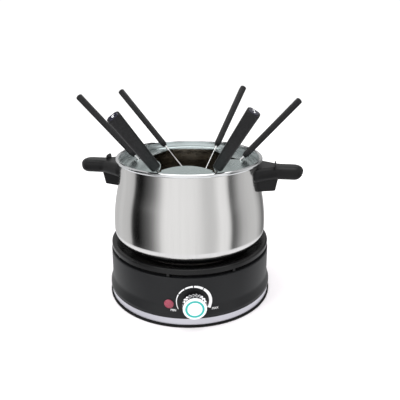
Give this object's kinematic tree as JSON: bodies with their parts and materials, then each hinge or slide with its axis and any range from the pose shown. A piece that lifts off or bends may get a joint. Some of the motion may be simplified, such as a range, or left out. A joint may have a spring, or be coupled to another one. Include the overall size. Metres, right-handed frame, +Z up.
{
  "type": "electric fondue set",
  "caption": "Electric fondue set: round heating base with control knob, lift-off bellied steel pot with side handles, and a notched guard ring that holds flat-handled forks.",
  "frame": {"origin": "centre of the foot ring on the table", "axes": "+Z up, the control knob looks along -Y, the power inlet along +Y"},
  "size_m": [0.2654, 0.2353, 0.2393],
  "materials": {
    "black_rubber": "matt, slightly soft",
    "brushed_steel_trim": "fine brushed round the band",
    "black_plastic_plain": "plain moulded",
    "black_satin_plastic": "satin, fine moulded grain",
    "black_gloss_plastic": "semi-gloss",
    "zinc_steel": "zinc plated",
    "cast_plate": "dark coated casting",
    "element_sheath": "dull sheath",
    "plain_steel_sheet": "mill finish",
    "white_ceramic_block": "unglazed steatite",
    "brass_parts": "turned and stamped",
    "red_lens": "translucent dull red",
    "clear_glass": "clear neon tube",
    "lead_sleeve": "woven glass sleeving",
    "white_plastic": "smooth white",
    "knurled_chrome": "diamond knurled, plated",
    "teal_plastic": "smooth",
    "brushed_steel_pot": "brushed upright outside, spun inside, bright bead",
    "aluminium_disc": "turned",
    "black_phenolic": "phenolic, slightly glossy",
    "polished_steel_guard": "polished",
    "polished_steel_rod": "polished",
    "black_fork_plastic": "fine satin",
    "fork_end_1": "gloss, with a white number",
    "fork_end_2": "gloss, with a white number",
    "fork_end_3": "gloss, with a white number",
    "fork_end_4": "gloss, with a white number",
    "fork_end_5": "gloss, with a white number",
    "fork_end_6": "gloss, with a white number"
  },
  "bodies": {
    "base": {"foot_ring": "black_rubber", "trim_band": "brushed_steel_trim", "base_plate": "black_plastic_plain", "base_housing": "black_satin_plastic", "top_collar": "black_gloss_plastic", "base_screws": "zinc_steel", "collar_screws": "zinc_steel", "heating_plate": "cast_plate", "heating_element": "element_sheath", "heat_shield": "plain_steel_sheet", "shield_posts": "zinc_steel", "shield_nuts": "zinc_steel", "thermostat_body": "white_ceramic_block", "thermostat_plate": "zinc_steel", "thermostat_nut": "brass_parts", "thermostat_blades": "brass_parts", "lamp_lens": "red_lens", "lamp_bulb": "clear_glass", "power_inlet": "black_plastic_plain", "inlet_pins": "brass_parts", "lead_wires": "lead_sleeve"},
    "knob": {"control_shaft": "white_plastic", "knob_body": "knurled_chrome", "knob_cap": "white_plastic", "knob_ring": "teal_plastic"},
    "pot": {"pot_shell": "brushed_steel_pot", "pot_base_disc": "aluminium_disc", "handle_right": "black_phenolic", "handle_left": "black_phenolic", "handle_bracket_right": "plain_steel_sheet", "handle_bracket_left": "plain_steel_sheet", "handle_screw_right": "zinc_steel", "handle_screw_left": "zinc_steel"},
    "guard": {"fork_guard": "polished_steel_guard"},
    "fork_1": {"fork_1_steel": "polished_steel_rod", "fork_1_handle": "black_fork_plastic", "fork_1_end_plug": "fork_end_1"},
    "fork_2": {"fork_2_steel": "polished_steel_rod", "fork_2_handle": "black_fork_plastic", "fork_2_end_plug": "fork_end_2"},
    "fork_3": {"fork_3_steel": "polished_steel_rod", "fork_3_handle": "black_fork_plastic", "fork_3_end_plug": "fork_end_3"},
    "fork_4": {"fork_4_steel": "polished_steel_rod", "fork_4_handle": "black_fork_plastic", "fork_4_end_plug": "fork_end_4"},
    "fork_5": {"fork_5_steel": "polished_steel_rod", "fork_5_handle": "black_fork_plastic", "fork_5_end_plug": "fork_end_5"},
    "fork_6": {"fork_6_steel": "polished_steel_rod", "fork_6_handle": "black_fork_plastic", "fork_6_end_plug": "fork_end_6"}
  },
  "joints": [
    {"name": "knob_turn", "type": "hinge", "parent": "base", "child": "knob", "pos_m": [0, -0.1, 0.0303], "axis": [0, 1, 0], "range_deg": [0, 232]},
    {"name": "pot_lift", "type": "slide", "parent": "base", "child": "pot", "axis": [0, 0, 1], "range_m": [0, 0.15]},
    {"name": "guard_lift", "type": "slide", "parent": "pot", "child": "guard", "axis": [0, 0, 1], "range_m": [0, 0.1]},
    {"name": "fork_1_draw", "type": "slide", "parent": "guard", "child": "fork_1", "axis": [0.72, 0.2924, 0.6293], "range_m": [0, 0.09]},
    {"name": "fork_2_draw", "type": "slide", "parent": "guard", "child": "fork_2", "axis": [0.4269, 0.579, 0.6947], "range_m": [0, 0.09]},
    {"name": "fork_3_draw", "type": "slide", "parent": "guard", "child": "fork_3", "axis": [-0.5904, 0.4514, 0.6691], "range_m": [0, 0.09]},
    {"name": "fork_4_draw", "type": "slide", "parent": "guard", "child": "fork_4", "axis": [-0.6712, 0.2905, 0.682], "range_m": [0, 0.09]},
    {"name": "fork_5_draw", "type": "slide", "parent": "guard", "child": "fork_5", "axis": [-0.359, -0.6372, 0.682], "range_m": [0, 0.09]},
    {"name": "fork_6_draw", "type": "slide", "parent": "guard", "child": "fork_6", "axis": [0.267, -0.6413, 0.7193], "range_m": [0, 0.09]}
  ]
}
